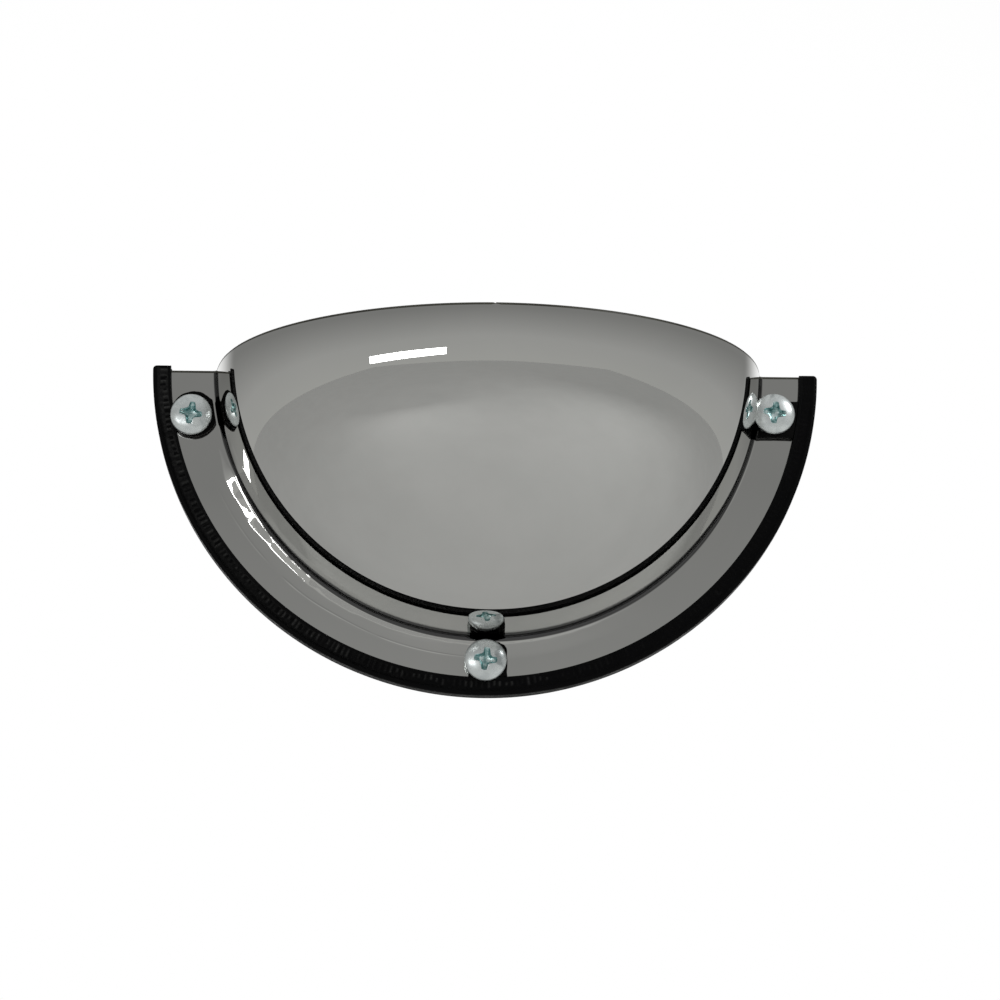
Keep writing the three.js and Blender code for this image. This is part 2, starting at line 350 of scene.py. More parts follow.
def mat_zinc():
    m = Mat("screw_zinc_face")
    blotch = m.noise(210, 4, 0.6, distortion=0.8)
    fine = m.noise(1500, 3, 0.6)
    streak = m.noise(500, 3, 0.6, stretch=(1, 0.3, 0.3))
    patch = m.noise(120, 2, 0.5, distortion=0.4)
    c = m.ramp(blotch, [(0.25, rgb(206, 213, 214)), (0.6, rgb(236, 242, 242))])
    c = m.mix(m.grey(patch, [(0.60, 0.0), (0.70, 0.62)]), c, rgb(128, 136, 137))
    c = m.mix(m.grey(fine, [(0.66, 0.0), (0.8, 0.25)]), c, rgb(160, 166, 168))
    r = m.grey(blotch, [(0.3, 0.36), (0.65, 0.24)])
    n = m.bump(fine, 0.12, 0.00006)
    n = m.bump(streak, 0.08, 0.00008, n)
    return m.principled(c, r, 0.72, n)


def mat_zinc_recess():
    m = Mat("screw_zinc_recess")
    blotch = m.noise(520, 4, 0.6)
    c = m.ramp(blotch, [(0.34, rgb(78, 122, 122)), (0.5, rgb(150, 188, 188)), (0.62, rgb(226, 244, 244))])
    n = m.bump(blotch, 0.4, 0.0003)
    return m.principled(c, m.grey(blotch, [(0.3, 0.18), (0.7, 0.3)]), 0.9, n)


def mat_thread():
    m = Mat("screw_zinc_thread")
    g = m.noise(600, 4, 0.6)
    c = m.ramp(g, [(0.3, rgb(150, 154, 156)), (0.7, rgb(206, 210, 211))])
    return m.principled(c, m.grey(g, [(0.3, 0.28), (0.7, 0.46)]), 0.95, m.bump(g, 0.3, 0.0001))


def mat_steel():
    m = Mat("carrier_steel_face")
    brush = m.noise(900, 3, 0.6, stretch=(0.08, 1, 0.08))
    spot = m.noise(120, 4, 0.6)
    c = m.ramp(brush, [(0.3, rgb(128, 130, 133)), (0.7, rgb(176, 178, 181))])
    c = m.mix(m.grey(spot, [(0.62, 0.0), (0.8, 0.5)]), c, rgb(96, 84, 72))
    return m.principled(c, m.grey(brush, [(0.3, 0.3), (0.7, 0.5)]), 0.95, m.bump(brush, 0.3, 0.0001))


def mat_nylon():
    m = Mat("plug_nylon_face")
    g = m.noise(420, 3, 0.55)
    cloud = m.noise(70, 3, 0.6)
    c = m.ramp(cloud, [(0.3, rgb(148, 150, 150)), (0.7, rgb(172, 174, 173))])
    n = m.bump(g, 0.25, 0.0001)
    return m.principled(c, m.grey(g, [(0.3, 0.42), (0.7, 0.6)]), 0.0, n, Subsurface_Weight=0.12, Subsurface_Scale=0.002)


MIRROR, EDGE, PAINT = mat_mirror(), mat_sheet_edge(), mat_back_paint()
TRIM = mat_rubber("trim_rubber_face", rgb(2, 2, 3), rgb(7, 7, 8), 900, 0.18, True, (0.34, 0.52))
PADR = mat_rubber("pad_rubber_face", rgb(2, 2, 2), rgb(6, 6, 6), 700, 0.08, False, (0.4, 0.6))
ZINC, RECESS, THREAD, STEEL, NYLON = mat_zinc(), mat_zinc_recess(), mat_thread(), mat_steel(), mat_nylon()


# ------------------------------------------------------------------ formed mirror sheet
LEAD_R = 133.0      # the flange starts to lift here towards the fold, round the lower part of the ring
wobble_a, wobble_b = value_noise(11), value_noise(23)


def smooth01(t):
    t = np.clip(t, 0, 1)
    return t * t * (3 - 2 * t)


def lead_share(deg):
    """How strongly the flange lifts towards the fold at an angle; 180 is left, 270 down, 360 right."""
    return smooth01((deg - 195) / 9) * (1 - smooth01((deg - 280) / 24))


def lead_height(r, deg):
    """Lift of the flange's front face in mm at radius r (arrays): a narrow cone against the fold, a faint outer slope and a thin ridge."""
    share = lead_share(deg)
    foot = DOME_R + FOLD_R
    width = np.interp(deg, [196, 204, 214, 224, 240, 270, 300], [2.0, 4.6, 4.4, 3.1, 2.5, 1.4, 0.8])
    width = width * (1 + 0.16 * wobble_a(deg / 5.0)) + 0.25 * wobble_b(deg / 1.7 + 11)
    d = np.clip(foot + width - r, 0, 9)
    soft = 0.45
    cone = np.where(d < soft, d * d / (2 * soft), d - soft / 2)
    outer = 0.11 * np.clip((133.0 - r) / 9.0, 0, 1.05) ** 2
    ridge_r = 131.0 + 0.6 * wobble_b(deg / 11.0 + 3) + 1.2 * smooth01((232 - deg) / 14)
    ridge = 0.05 * np.exp(-((r - ridge_r) / 0.36) ** 2) * smooth01((deg - 204) / 14) * (1 - smooth01((deg - 256) / 14)) * (0.55 + 0.6 * wobble_a(deg / 3.1 + 5))
    ripple = 0.014 * wobble_b(deg / 4.0 + r * 0.5) * np.clip((foot + width + 1.5 - r) / 2, 0, 1)
    lean = np.interp(deg, [197, 205, 210, 215, 220, 225, 230, 240, 250, 260, 270, 300], [19.0, 18.2, 16.3, 13.9, 11.6, 10.3, 10.0, 10.2, 9.5, 8.6, 8.0, 8.0])
    lean = np.tan(np.radians(lean + 0.5 * np.clip((foot + width * 0.5 - r), -2, 2) / 2))
    ripple = ripple * (1 - 0.7 * smooth01((deg - 200) / 6) * (1 - smooth01((deg - 226) / 8)))
    return share * (lean * cone + outer + ripple) + ridge


# the formed dome sits a little to the right, and flares slightly where it meets the flange
SHIFT_X = 1.3


def near_dome(rad):
    return 1 - smooth01((rad - 126.5) / 10.0)


def flare(h, st):
    """Extra radius at height h; st is the sine of the angle."""
    return (1.5 + 1.1 * st * st) * np.exp(-np.clip(h, 0, 200) / 10.0)


def dome_profile(n_dome=150):
    """Front section of the dome above the fold: [r, h, nr, nh] with unit normals, base to apex."""
    t0 = 0.0
    def pt(t):
        a = t * PI / 2
        return DOME_R * math.cos(a) ** (2 / DOME_N), DOME_H * math.sin(a) ** (2 / DOME_N)
    while pt(t0)[1] < FOLD_R:
        t0 += 0.0002
    out = []
    for i in range(n_dome + 1):
        s = i / n_dome
        t = t0 + (1 - t0) * s
        r, h = pt(min(t, 1.0))
        if i == n_dome:
            r, h = 0.0, DOME_H
        gr = DOME_N * (max(r, 1e-6) / DOME_R) ** (DOME_N - 1) / DOME_R
        gh = DOME_N * (h / DOME_H) ** (DOME_N - 1) / DOME_H
        l = math.hypot(gr, gh)
        out.append((r, h, gr / l, gh / l))
    return out


def build_sheet():
    cols = 420
    dome = dome_profile()
    r_wall = dome[0][0]
    edge = 0.5                                   # chamfer along the cut top edge
    z_front = -SHEET_TOP + edge                  # the mirrored face stops here
    # front rows: (r, h, kind) from the outside in
    rows = [(SHEET_R - 0.35, 0.0)]
    for r in np.linspace(SHEET_R - 1.2, LEAD_R + 1.6, 10):
        rows.append((float(r), 0.0))
    for r in np.linspace(LEAD_R + 1.2, r_wall + FOLD_R, 64):
        rows.append((float(r), 0.0))
    n_flange = len(rows)
    arc = 14
    for i in range(1, arc + 1):
        a = -PI / 2 - (i / arc) * (PI / 2)
        rows.append((r_wall + FOLD_R + FOLD_R * math.cos(a), FOLD_R + FOLD_R * math.sin(a)))
    n_fold = len(rows)
    for r, h, _, _ in dome[1:]:
        if r > z_front + 0.02:
            rows.append((r, h))
    # the last row closes on the point of the section that lies at the cut
    rr = z_front
    hh = DOME_H * (1 - (rr / DOME_R) ** DOME_N) ** (1 / DOME_N)
    rows.append((rr, hh))
    n = len(rows)
    R = np.array([p[0] for p in rows])
    Hh = np.array([p[1] for p in rows])

    line = 0.62                                  # width of the dark line along the cut edge

    def angles(radii, depth):
        a0 = np.arcsin(np.clip(depth / np.maximum(radii, depth), 0, 1))
        a1 = np.arcsin(np.clip((depth + line) / np.maximum(radii, depth + line), 0, 1))
        u = np.linspace(0, 1, cols - 1)
        mid = a1[:, None] + (PI - 2 * a1[:, None]) * u[None, :]
        return np.concatenate([a0[:, None], mid, PI - a0[:, None]], 1)

    def surface(radii, heights, depth, back=False):
        phi = angles(radii, depth)
        rad = np.repeat(radii[:, None], cols + 1, 1)
        h = np.repeat(heights[:, None], cols + 1, 1)
        deg = 360 - np.degrees(phi)
        lead = lead_height(np.maximum(rad, r_wall + FOLD_R), deg)
        fade = np.clip(1 - (h - FOLD_R) / 6.0, 0, 1)        # the lift dies out up the dome's wall
        w_ = near_dome(rad)
        rad_ = rad + flare(h, np.sin(phi)) * w_
        h = h + lead * fade
        pts = np.stack([rad_ * np.cos(phi) + SHIFT_X * w_, SHEET_FRONT - h, -rad_ * np.sin(phi)], -1)
        return pts, phi, h, rad

    front, phi, h, rad = surface(R, Hh, z_front)
    # normals of the front: analytic on the dome, finite differences on the flange and fold
    def eval_h(rad_, deg_):
        return lead_height(rad_, deg_)
    nr = np.zeros_like(rad)
    nh = np.ones_like(rad)
    na = np.zeros_like(rad)
    deg = 360 - np.degrees(phi)
    for i in range(n):
        r = R[i]
        if i < n_flange:
            e = 0.05
            base = max(r, r_wall + FOLD_R + 0.0)
            dr = (eval_h(np.full(cols + 1, base + e), deg[i]) - eval_h(np.full(cols + 1, max(base - e, r_wall + FOLD_R)), deg[i])) / (base + e - max(base - e, r_wall + FOLD_R))
            da = (eval_h(np.full(cols + 1, base), deg[i] + 0.1) - eval_h(np.full(cols + 1, base), deg[i] - 0.1)) / (math.radians(0.2) * base)
            nr[i], na[i] = -dr, -da
        elif i < n_fold:
            # turns from the flange's slope to the wall's
            k = (i - n_flange + 1) / arc
            e = 0.05
            base = r_wall + FOLD_R
            dr = (eval_h(np.full(cols + 1, base + e), deg[i]) - eval_h(np.full(cols + 1, base), deg[i])) / e
            slope = np.arctan(-dr)
            ang = slope + (PI / 2 - slope) * k
            lean = flare(FOLD_R, np.sin(phi[i])) / 10.0
            wall = np.arctan2(dome[0][2], dome[0][3] + dome[0][2] * lean)
            ang = slope + (wall - slope) * k
            nr[i], nh[i] = np.sin(ang), np.cos(ang)
        else:
            gr = DOME_N * (r / DOME_R) ** (DOME_N - 1) / DOME_R
            hv = DOME_H * max(0.0, 1 - min(1.0, r / DOME_R) ** DOME_N) ** (1 / DOME_N)
            gh = DOME_N * (hv / DOME_H) ** (DOME_N - 1) / DOME_H
            gh = gh + gr * flare(Hh[i], np.sin(phi[i])) / 10.0
            l = np.hypot(gr, gh)
            nr[i], nh[i] = gr / l, gh / l
    ct, st = np.cos(phi), np.sin(phi)
    # radial direction (cos, -sin), tangential by increasing deg is (sin... ) from phi = 360 - deg
    nx = nr * ct + na * st
    nz = -nr * st + na * ct
    ny = -nh
    N = np.stack([nx, ny, nz], -1)
    N /= np.linalg.norm(N, axis=-1, keepdims=True)

    # back face: front section offset inwards by the local thickness
    fr, fh = R.copy(), Hh.copy()
    tr = np.gradient(fr)
    th = np.gradient(fh)
    l = np.hypot(tr, th)
    tr, th = tr / l, th / l
    tr[:n_flange], th[:n_flange] = -1.0, 0.0
    thick = SHEET_T + (APEX_T - SHEET_T) * np.power(np.clip(fh / DOME_H, 0, 1), 0.7)
    br = fr + (-th) * thick
    bh = fh + tr * thick
    keep = [i for i in range(n) if br[i] > -SHEET_TOP + 0.05]
    br2 = np.append(br[keep], -SHEET_TOP)
    bh2 = np.append(bh[keep], DOME_H - APEX_T)
    br2[0] = SHEET_R - 0.35
    nb = len(br2)

    verts, norms, faces, fm = [], [], [], []

    def add(pts, nrm):
        s = len(verts)
        verts.extend(pts)
        norms.extend(nrm)
        return s

    f0 = add(front.reshape(-1, 3).tolist(), N.reshape(-1, 3).tolist())
    w = cols + 1
    for i in range(n - 1):
        for j in range(cols):
            a, b, c, d = f0 + i * w + j, f0 + i * w + j + 1, f0 + (i + 1) * w + j + 1, f0 + (i + 1) * w + j
            faces.append((a, d, c, b))
            fm.append(1 if j in (0, cols - 1) else 0)
    back, bphi, _, _ = surface(br2, bh2, -SHEET_TOP, True)
    # the back of the lifted flange stays flat on the spacers
    bflat = np.repeat(np.minimum(bh2, bh2)[:, None], w, 1)
    back[..., 1] = SHEET_FRONT - bflat
    b0 = add(back.reshape(-1, 3).tolist(), [(0, 1, 0)] * (nb * w))
    for i in range(nb - 1):
        for j in range(cols):
            a, b, c, d = b0 + i * w + j, b0 + i * w + j + 1, b0 + (i + 1) * w + j + 1, b0 + (i + 1) * w + j
            faces.append((a, b, c, d))
            fm.append(2)
    # outer rim with a small round
    rim_r = np.array([SHEET_R, SHEET_R])
    rim_phi = angles(rim_r, -SHEET_TOP)
    ring_pts = []
    for k, y in enumerate((SHEET_FRONT + 0.35, SHEET_BACK - 0.35)):
        ring_pts.append(np.stack([SHEET_R * np.cos(rim_phi[k]), np.full(w, y), -SHEET_R * np.sin(rim_phi[k])], -1))
    r0 = add(ring_pts[0].tolist(), [(0, 0, 0)] * w)
    r1 = add(ring_pts[1].tolist(), [(0, 0, 0)] * w)
    for j in range(cols):
        faces.append((f0 + j, f0 + j + 1, r0 + j + 1, r0 + j)); fm.append(1)
        faces.append((r0 + j, r0 + j + 1, r1 + j + 1, r1 + j)); fm.append(1)
        faces.append((r1 + j, r1 + j + 1, b0 + j + 1, b0 + j)); fm.append(1)
    # the cut along the top, left and right: chamfer line, then the flat cut
    for side, j in ((1, 0), (-1, cols)):
        ch = []
        for i in range(n):
            r = R[i]
            ph = phi[i, j]
            # chamfer point: up to the cut height and a little into the thickness
            p = front[i, j]
            inward = np.array([-N[i, j][0], -N[i, j][1], 0.0])
            q = np.array([p[0], p[1], SHEET_TOP]) + inward * edge
            if side * q[0] < 0:
                q[0] = 0.0
            ch.append(q.tolist())
        c0 = add(ch, [(0, 0, 0)] * n)
        for i in range(n - 1):
            a, b = f0 + i * w + j, f0 + (i + 1) * w + j
            c, d = c0 + i + 1, c0 + i
            faces.append((a, b, c, d) if side > 0 else (a, d, c, b)); fm.append(1)
        # flat cut between the chamfer line and the back line, by arc-length share
        top = [c0 + i for i in range(n)]
        bot = [b0 + i * w + j for i in range(nb)]
        lead_in = [r0 + j, r1 + j]
        # rim corner
        faces.append((f0 + j, c0, r0 + j) if side > 0 else (f0 + j, r0 + j, c0)); fm.append(1)
        poly_a = top
        poly_b = [r0 + j, r1 + j] + bot
        va = np.array([verts[k] for k in poly_a]); vb = np.array([verts[k] for k in poly_b])
        sa = np.concatenate([[0], np.cumsum(np.linalg.norm(np.diff(va, axis=0), axis=1))]); sa /= sa[-1]
        sb = np.concatenate([[0], np.cumsum(np.linalg.norm(np.diff(vb, axis=0), axis=1))]); sb /= sb[-1]
        ia = ib = 0
        while ia < len(poly_a) - 1 or ib < len(poly_b) - 1:
            if ib >= len(poly_b) - 1 or (ia < len(poly_a) - 1 and sa[ia + 1] <= sb[ib + 1]):
                tri = (poly_a[ia], poly_a[ia + 1], poly_b[ib]); ia += 1
            else:
                tri = (poly_a[ia], poly_b[ib + 1], poly_b[ib]); ib += 1
            faces.append(tri if side > 0 else (tri[0], tri[2], tri[1])); fm.append(1)
    ob = make("mirror_sheet_visual", verts, faces, (MIRROR, EDGE, PAINT), fm, True)
    me = ob.data
    bm = bmesh.new()
    bm.from_mesh(me)
    bmesh.ops.remove_doubles(bm, verts=bm.verts, dist=2e-6)
    bmesh.ops.dissolve_degenerate(bm, edges=bm.edges, dist=1e-7)
    bmesh.ops.recalc_face_normals(bm, faces=bm.faces)
    bm.to_mesh(me)
    bm.free()
    return ob


def paint_fold_shade(ob):
    """Stores where the sheet is bent hardest as painted shade: a dark line painted into the mirror between flange and
    dome.
    """
    me = ob.data
    co = np.zeros(len(me.vertices) * 3)
    me.vertices.foreach_get("co", co)
    co = co.reshape(-1, 3) * 1000
    r = np.hypot(co[:, 0] - SHIFT_X, co[:, 2])
    deg = np.degrees(np.arctan2(co[:, 2], co[:, 0])) % 360
    r = r - flare(np.clip(SHEET_FRONT - co[:, 1], 0, 200), np.sin(np.radians(deg)))
    low = smooth01((deg - 200) / 20) * (1 - smooth01((deg - 318) / 20))
    height = SHEET_FRONT - co[:, 1]
    wall = DOME_R - 0.2
    outer = DOME_R + FOLD_R - 0.35 + 0.45 * low
    v = np.clip((outer - r) / 0.35, 0, 1) * np.clip((r - (wall - 0.25)) / 0.25, 0, 1)
    v = v * np.clip((FOLD_R + 2.2 * low + 2.2 - height) / 1.0, 0, 1)
    at = me.attributes.new("FoldPaintedShade", "FLOAT", "POINT")
    at.data.foreach_set("value", (v * 0.94).astype(np.float32))


def drill(ob, centres, radius, y0, y1):
    cutters = []
    for k, (x, z) in enumerate(centres):
        c = lathe_y(f"drill_{k}", [(0, y0), (radius, y0), (radius, y1), (0, y1)], 48, (x, z), sharp_deg=None)
        cutters.append(c)
    return boolean_cut(ob, cutters)


sheet = build_sheet()
sheet = drill(sheet, FIXINGS.values(), HOLE_R, -12, 2)
sheet.data.set_sharp_from_angle(angle=math.radians(28))
paint_fold_shade(sheet)


# ------------------------------------------------------------------ edge trim
def rounded(cx, cy, rad, a0, a1, steps):
    return [(cx + rad * math.cos(a0 + (a1 - a0) * i / steps), cy + rad * math.sin(a0 + (a1 - a0) * i / steps)) for i in range(steps + 1)]


def build_trim():
    ro, ri, d, leg, crown = TRIM_R, TRIM_INNER_R, TRIM_DEPTH, TRIM_LEG, TRIM_CROWN
    R1, R2 = 1.6, 0.55
    # section [r, y], front at -d; counter-clockwise seen with r to the right and y up
    sec = []
    sec += rounded(ri + R2, -d + R2, R2, PI, 1.5 * PI, 4)                # front lip
    for r in np.linspace(ri + 1.0, ro - R1 - 0.3, 26):
        sec.append((float(r), -d))
    sec += rounded(ro - R1, -d + R1, R1, 1.5 * PI, 2 * PI, 7)
    for y in np.linspace(-d + R1 + 0.4, -R1 - 0.4, 7):
        sec.append((ro, float(y)))
    sec += rounded(ro - R1, -R1, R1, 0, 0.5 * PI, 6)
    sec += [(ri + 3.0, 0.0)]
    sec += rounded(ri + R2, -R2, R2, 0.5 * PI, PI, 3)
    sec += [(ri, -leg + 0.3), (ri + 0.3, -leg)]
    sec += [(ri + 2.5, -leg), (ro - crown - 0.3, -leg), (ro - crown, -leg - 0.3)]
    sec += [(ro - crown, -(d - leg) + 0.3), (ro - crown - 0.3, -(d - leg)), (ri + 2.5, -(d - leg))]
    sec += [(ri + 0.3, -(d - leg)), (ri, -(d - leg) - 0.3)]
    S = np.array(sec)
    m = len(S)
    steps = 1500
    u = np.linspace(0, 1, steps + 1)
    # denser columns at the ends, for the rounded ends
    extra = np.array([0.2, 0.45, 0.8, 1.2, 1.7, 2.4]) / (PI * 146)
    u = np.unique(np.concatenate([u, extra, 1 - extra]))
    cols = len(u)
    rib = value_noise(5)
    soft = value_noise(41)
    grain = value_noise(77)
    V = np.zeros((cols, m, 3))
    TONE = np.zeros((cols, m))
    for c, uu in enumerate(u):
        a_right = math.asin(-TRIM_END_RIGHT / 146.0)
        a_left = PI - math.asin(-TRIM_END_LEFT / 146.0)
        phi = a_right + (a_left - a_right) * uu
        deg = 360 - math.degrees(phi)
        r, y = S[:, 0].copy(), S[:, 1].copy()
        # ends: outer corners rounded off
        e = min(uu, 1 - uu) * PI * 146
        if e < 1.6:
            cut = 1.6 - math.sqrt(max(0.0, 1.6 ** 2 - (1.6 - e) ** 2))
            k = np.clip((r - (ro - 3.2)) / 3.2, 0, 1)
            r = r - cut * k
            kf = np.clip((-y - (d - 1.0)) / 1.0, 0, 1)
            y = y + kf * cut * 0.35
        # ribs pressed through by the steel clip, strongest on the left
        strength = float(1 - smooth01((deg - 258) / 40)) * 0.94 + 0.06
        arc = math.radians(deg) * 145.0
        pitch = 2.55
        ph = (arc / pitch) + 0.06 * float(rib(arc / 23.0))
        cell = math.floor(ph)
        f = (ph % 1.0) - 0.5
        ridge = math.exp(-((f + 0.14 * float(rib(cell * 1.37 + 9))) / 0.17) ** 2)
        irregular = min(1.3, max(0.12, 0.62 + 1.1 * float(rib(cell * 2.11 + 3))))
        fine_ = 0.5 + 0.5 * float(grain(arc / 0.8))
        on_front = (S[:, 1] < -d + 0.35)
        reach = 146.2 + 1.1 * float(rib(cell * 0.77 + 31))
        start_r = 143.1 + 0.9 * float(rib(cell * 0.59 + 57))
        band = np.clip((r - start_r) / 0.5, 0, 1) * np.clip((reach - r) / 0.6, 0, 1)
        # a shallow dish along the middle of the front face, with the ribs standing in it
        dish = np.clip((r - 142.3) / 0.9, 0, 1) * np.clip((148.2 - r) / 1.2, 0, 1)
        y = y + np.where(on_front, dish * (0.16 + 0.34 * strength) - band * ridge * 0.42 * strength * irregular, 0.0)
        y = y + np.where(on_front, band * (1 - ridge) * 0.16 * strength * fine_, 0.0)
        line = np.exp(-((r - 142.35) / 0.22) ** 2)
        y = y + np.where(on_front, line * 0.16, 0.0)
        # painted light: the front face is painted lighter towards the left end as if lit from the left, and the rib
        # crests get painted highlight dashes
        lit = float(1 - smooth01((deg - 186) / 30))
        left_painted_light = float(1 - smooth01((deg - 200) / 75))
        wide = np.clip((r - 142.8) / 0.5, 0, 1) * np.clip((147.6 - r) / 0.8, 0, 1)
        tone = band * 0.24 * ridge * irregular * strength + wide * (0.10 * left_painted_light + 0.05 * lit) * (0.3 + 0.8 * fine_)
        TONE[c] = np.where(on_front, np.clip(tone, 0, 1), 0.0)
        groove = ridge
        # outer web: gentle unevenness
        r = r + np.where(S[:, 0] > ro - 0.05, -0.10 + 0.08 * float(soft(deg / 7.0)) - 0.10 * groove * strength * irregular, 0.0)
        V[c, :, 0] = r * math.cos(phi)
        V[c, :, 1] = y
        V[c, :, 2] = -r * math.sin(phi)
        if uu == 0:
            V[c, :, 2] = TRIM_END_RIGHT
        if uu == 1:
            V[c, :, 2] = TRIM_END_LEFT
    V[..., 2] = np.minimum(V[..., 2], 0.0)
    verts = V.reshape(-1, 3).tolist()
    faces = []
    for c in range(cols - 1):
        for k in range(m):
            k2 = (k + 1) % m
            a, b = c * m + k, c * m + k2
            faces.append((a, b, b + m, a + m))
    # channel for the steel strip, a closed tube inside
    ch = u_section(143.2 - 0.3, 149.05 + 0.3, -0.85 + 0.3, -7.15 - 0.3, 1.1, 1.1)
    C = np.array(ch)
    mc = len(C)
    step = 6
    sel = sorted(set(list(range(0, cols, step)) + [cols - 1]))
    base = len(verts)
    for c in sel:
        uu = u[c]
        phi = a_right + (a_left - a_right) * uu
        z_end = TRIM_END_RIGHT if uu == 0 else (TRIM_END_LEFT if uu == 1 else None)
        for rr, yy in C:
            verts.append((rr * math.cos(phi), yy, (-rr * math.sin(phi)) if z_end is None else z_end))
    for s in range(len(sel) - 1):
        for k in range(mc):
            k2 = (k + 1) % mc
            a, b = base + s * mc + k, base + s * mc + k2
            faces.append((a, a + mc, b + mc, b))
    ob = make("edge_trim_visual", verts, faces, (TRIM,), None, True)
    bm = bmesh.new()
    bm.from_mesh(ob.data)
    bm.verts.ensure_lookup_table()
    # end caps: outline with the channel's hole
    for c, s in ((0, 0), (cols - 1, len(sel) - 1)):
        edges = []
        for start, count in ((c * m, m), (base + s * mc, mc)):
            for k in range(count):
                e = bm.edges.get((bm.verts[start + k], bm.verts[start + (k + 1) % count]))
                if e is not None:
                    edges.append(e)
        bmesh.ops.triangle_fill(bm, use_beauty=True, use_dissolve=False, edges=edges)
    bmesh.ops.recalc_face_normals(bm, faces=bm.faces)
    for f in bm.faces:
        f.smooth = True
    bm.to_mesh(ob.data)
    bm.free()
    # per-vertex painted light of the trim's front face: rib highlights and the lighter left end
    tone = np.zeros(len(ob.data.vertices), np.float32)
    tone[:cols * m] = TONE.ravel()
    at = ob.data.attributes.new("PaintedTrimLight", "FLOAT", "POINT")
    at.data.foreach_set("value", tone)
    ob.data.set_sharp_from_angle(angle=math.radians(40))
    return ob


def u_section(inner, outer, back, front, t, cut):
    return [
        (inner, front), (outer - cut, front), (outer, front + cut), (outer, back - cut), (outer - cut, back), (inner, back),
        (inner, back - t), (outer - t, back - t), (outer - t, back - t - cut * 0.5),
        (outer - t, front + t + cut * 0.5), (outer - t - cut * 0.5, front + t), (inner, front + t),
    ]


trim = build_trim()


# ------------------------------------------------------------------ steel strip in the trim
def build_carrier():
    """A U-bent ladder strip: rungs across, joined by a thin rail on each leg."""
    t = 0.5
    inner, outer, back, front = 143.2, 149.05, -0.85, -7.15
    # middle line of the U, from the front leg's tip round to the back leg's tip
    line = [(inner, front + t / 2)]
    for r in np.linspace(inner + 1.4, outer - t / 2 - 0.9, 3):
        line.append((float(r), front + t / 2))
    line += rounded(outer - t / 2 - 0.8, front + t / 2 + 0.8, 0.8, 1.5 * PI, 2 * PI, 3)
    line += rounded(outer - t / 2 - 0.8, back - t / 2 - 0.8, 0.8, 0, 0.5 * PI, 3)
    for r in np.linspace(outer - t / 2 - 0.9, inner + 1.4, 3):
        line.append((float(r), back - t / 2))
    line.append((inner, back - t / 2))
    L = np.array(line)
    m = len(L)
    a0 = math.asin(3.2 / 146)
    a1 = PI - math.asin(1.6 / 146)
    n = int(146 * (a1 - a0) / 1.15)
    rail = {1, m - 3}
    verts, faces = [], []
    for c in range(n + 1):
        phi = a0 + (a1 - a0) * c / n
        for r, y in L:
            verts.append((r * math.cos(phi), y, -r * math.sin(phi)))
    for c in range(n):
        gap = (c % 4) == 3
        for k in range(m - 1):
            if gap and k not in rail:
                continue
            a, b = c * m + k, c * m + k + 1
            faces.append((a, b, b + m, a + m))
    ob = make("trim_steel_strip_visual", verts, faces, (STEEL,), None, True)
    bm = bmesh.new()
    bm.from_mesh(ob.data)
    bmesh.ops.delete(bm, geom=[v for v in bm.verts if not v.link_faces], context="VERTS")
    bm.to_mesh(ob.data)
    bm.free()
    s = ob.modifiers.new("thickness", "SOLIDIFY")
    s.thickness, s.offset = 0.0005, 0.0
    bpy.context.view_layer.update()
    apply_modifiers(ob)
    ob.data.set_sharp_from_angle(angle=math.radians(35))
    return ob


carrier = build_carrier()


# ------------------------------------------------------------------ screws
def cross_outline(span, width, neck, steps=3):
    """A cross with slightly tapering arms and rounded inner corners, in (u, v)."""
    h, w, q = span / 2, width / 2, neck / 2
    base = [(h, -w * 0.8), (h + 0.25, 0.0), (h, w * 0.8), (q + 0.5, w), (q, q)]
    pts = []
    for k in range(4):
        c, s = math.cos(k * PI / 2), math.sin(k * PI / 2)
        for a, b in base:
            pts.append((a * c - b * s, a * s + b * c))
    return pts


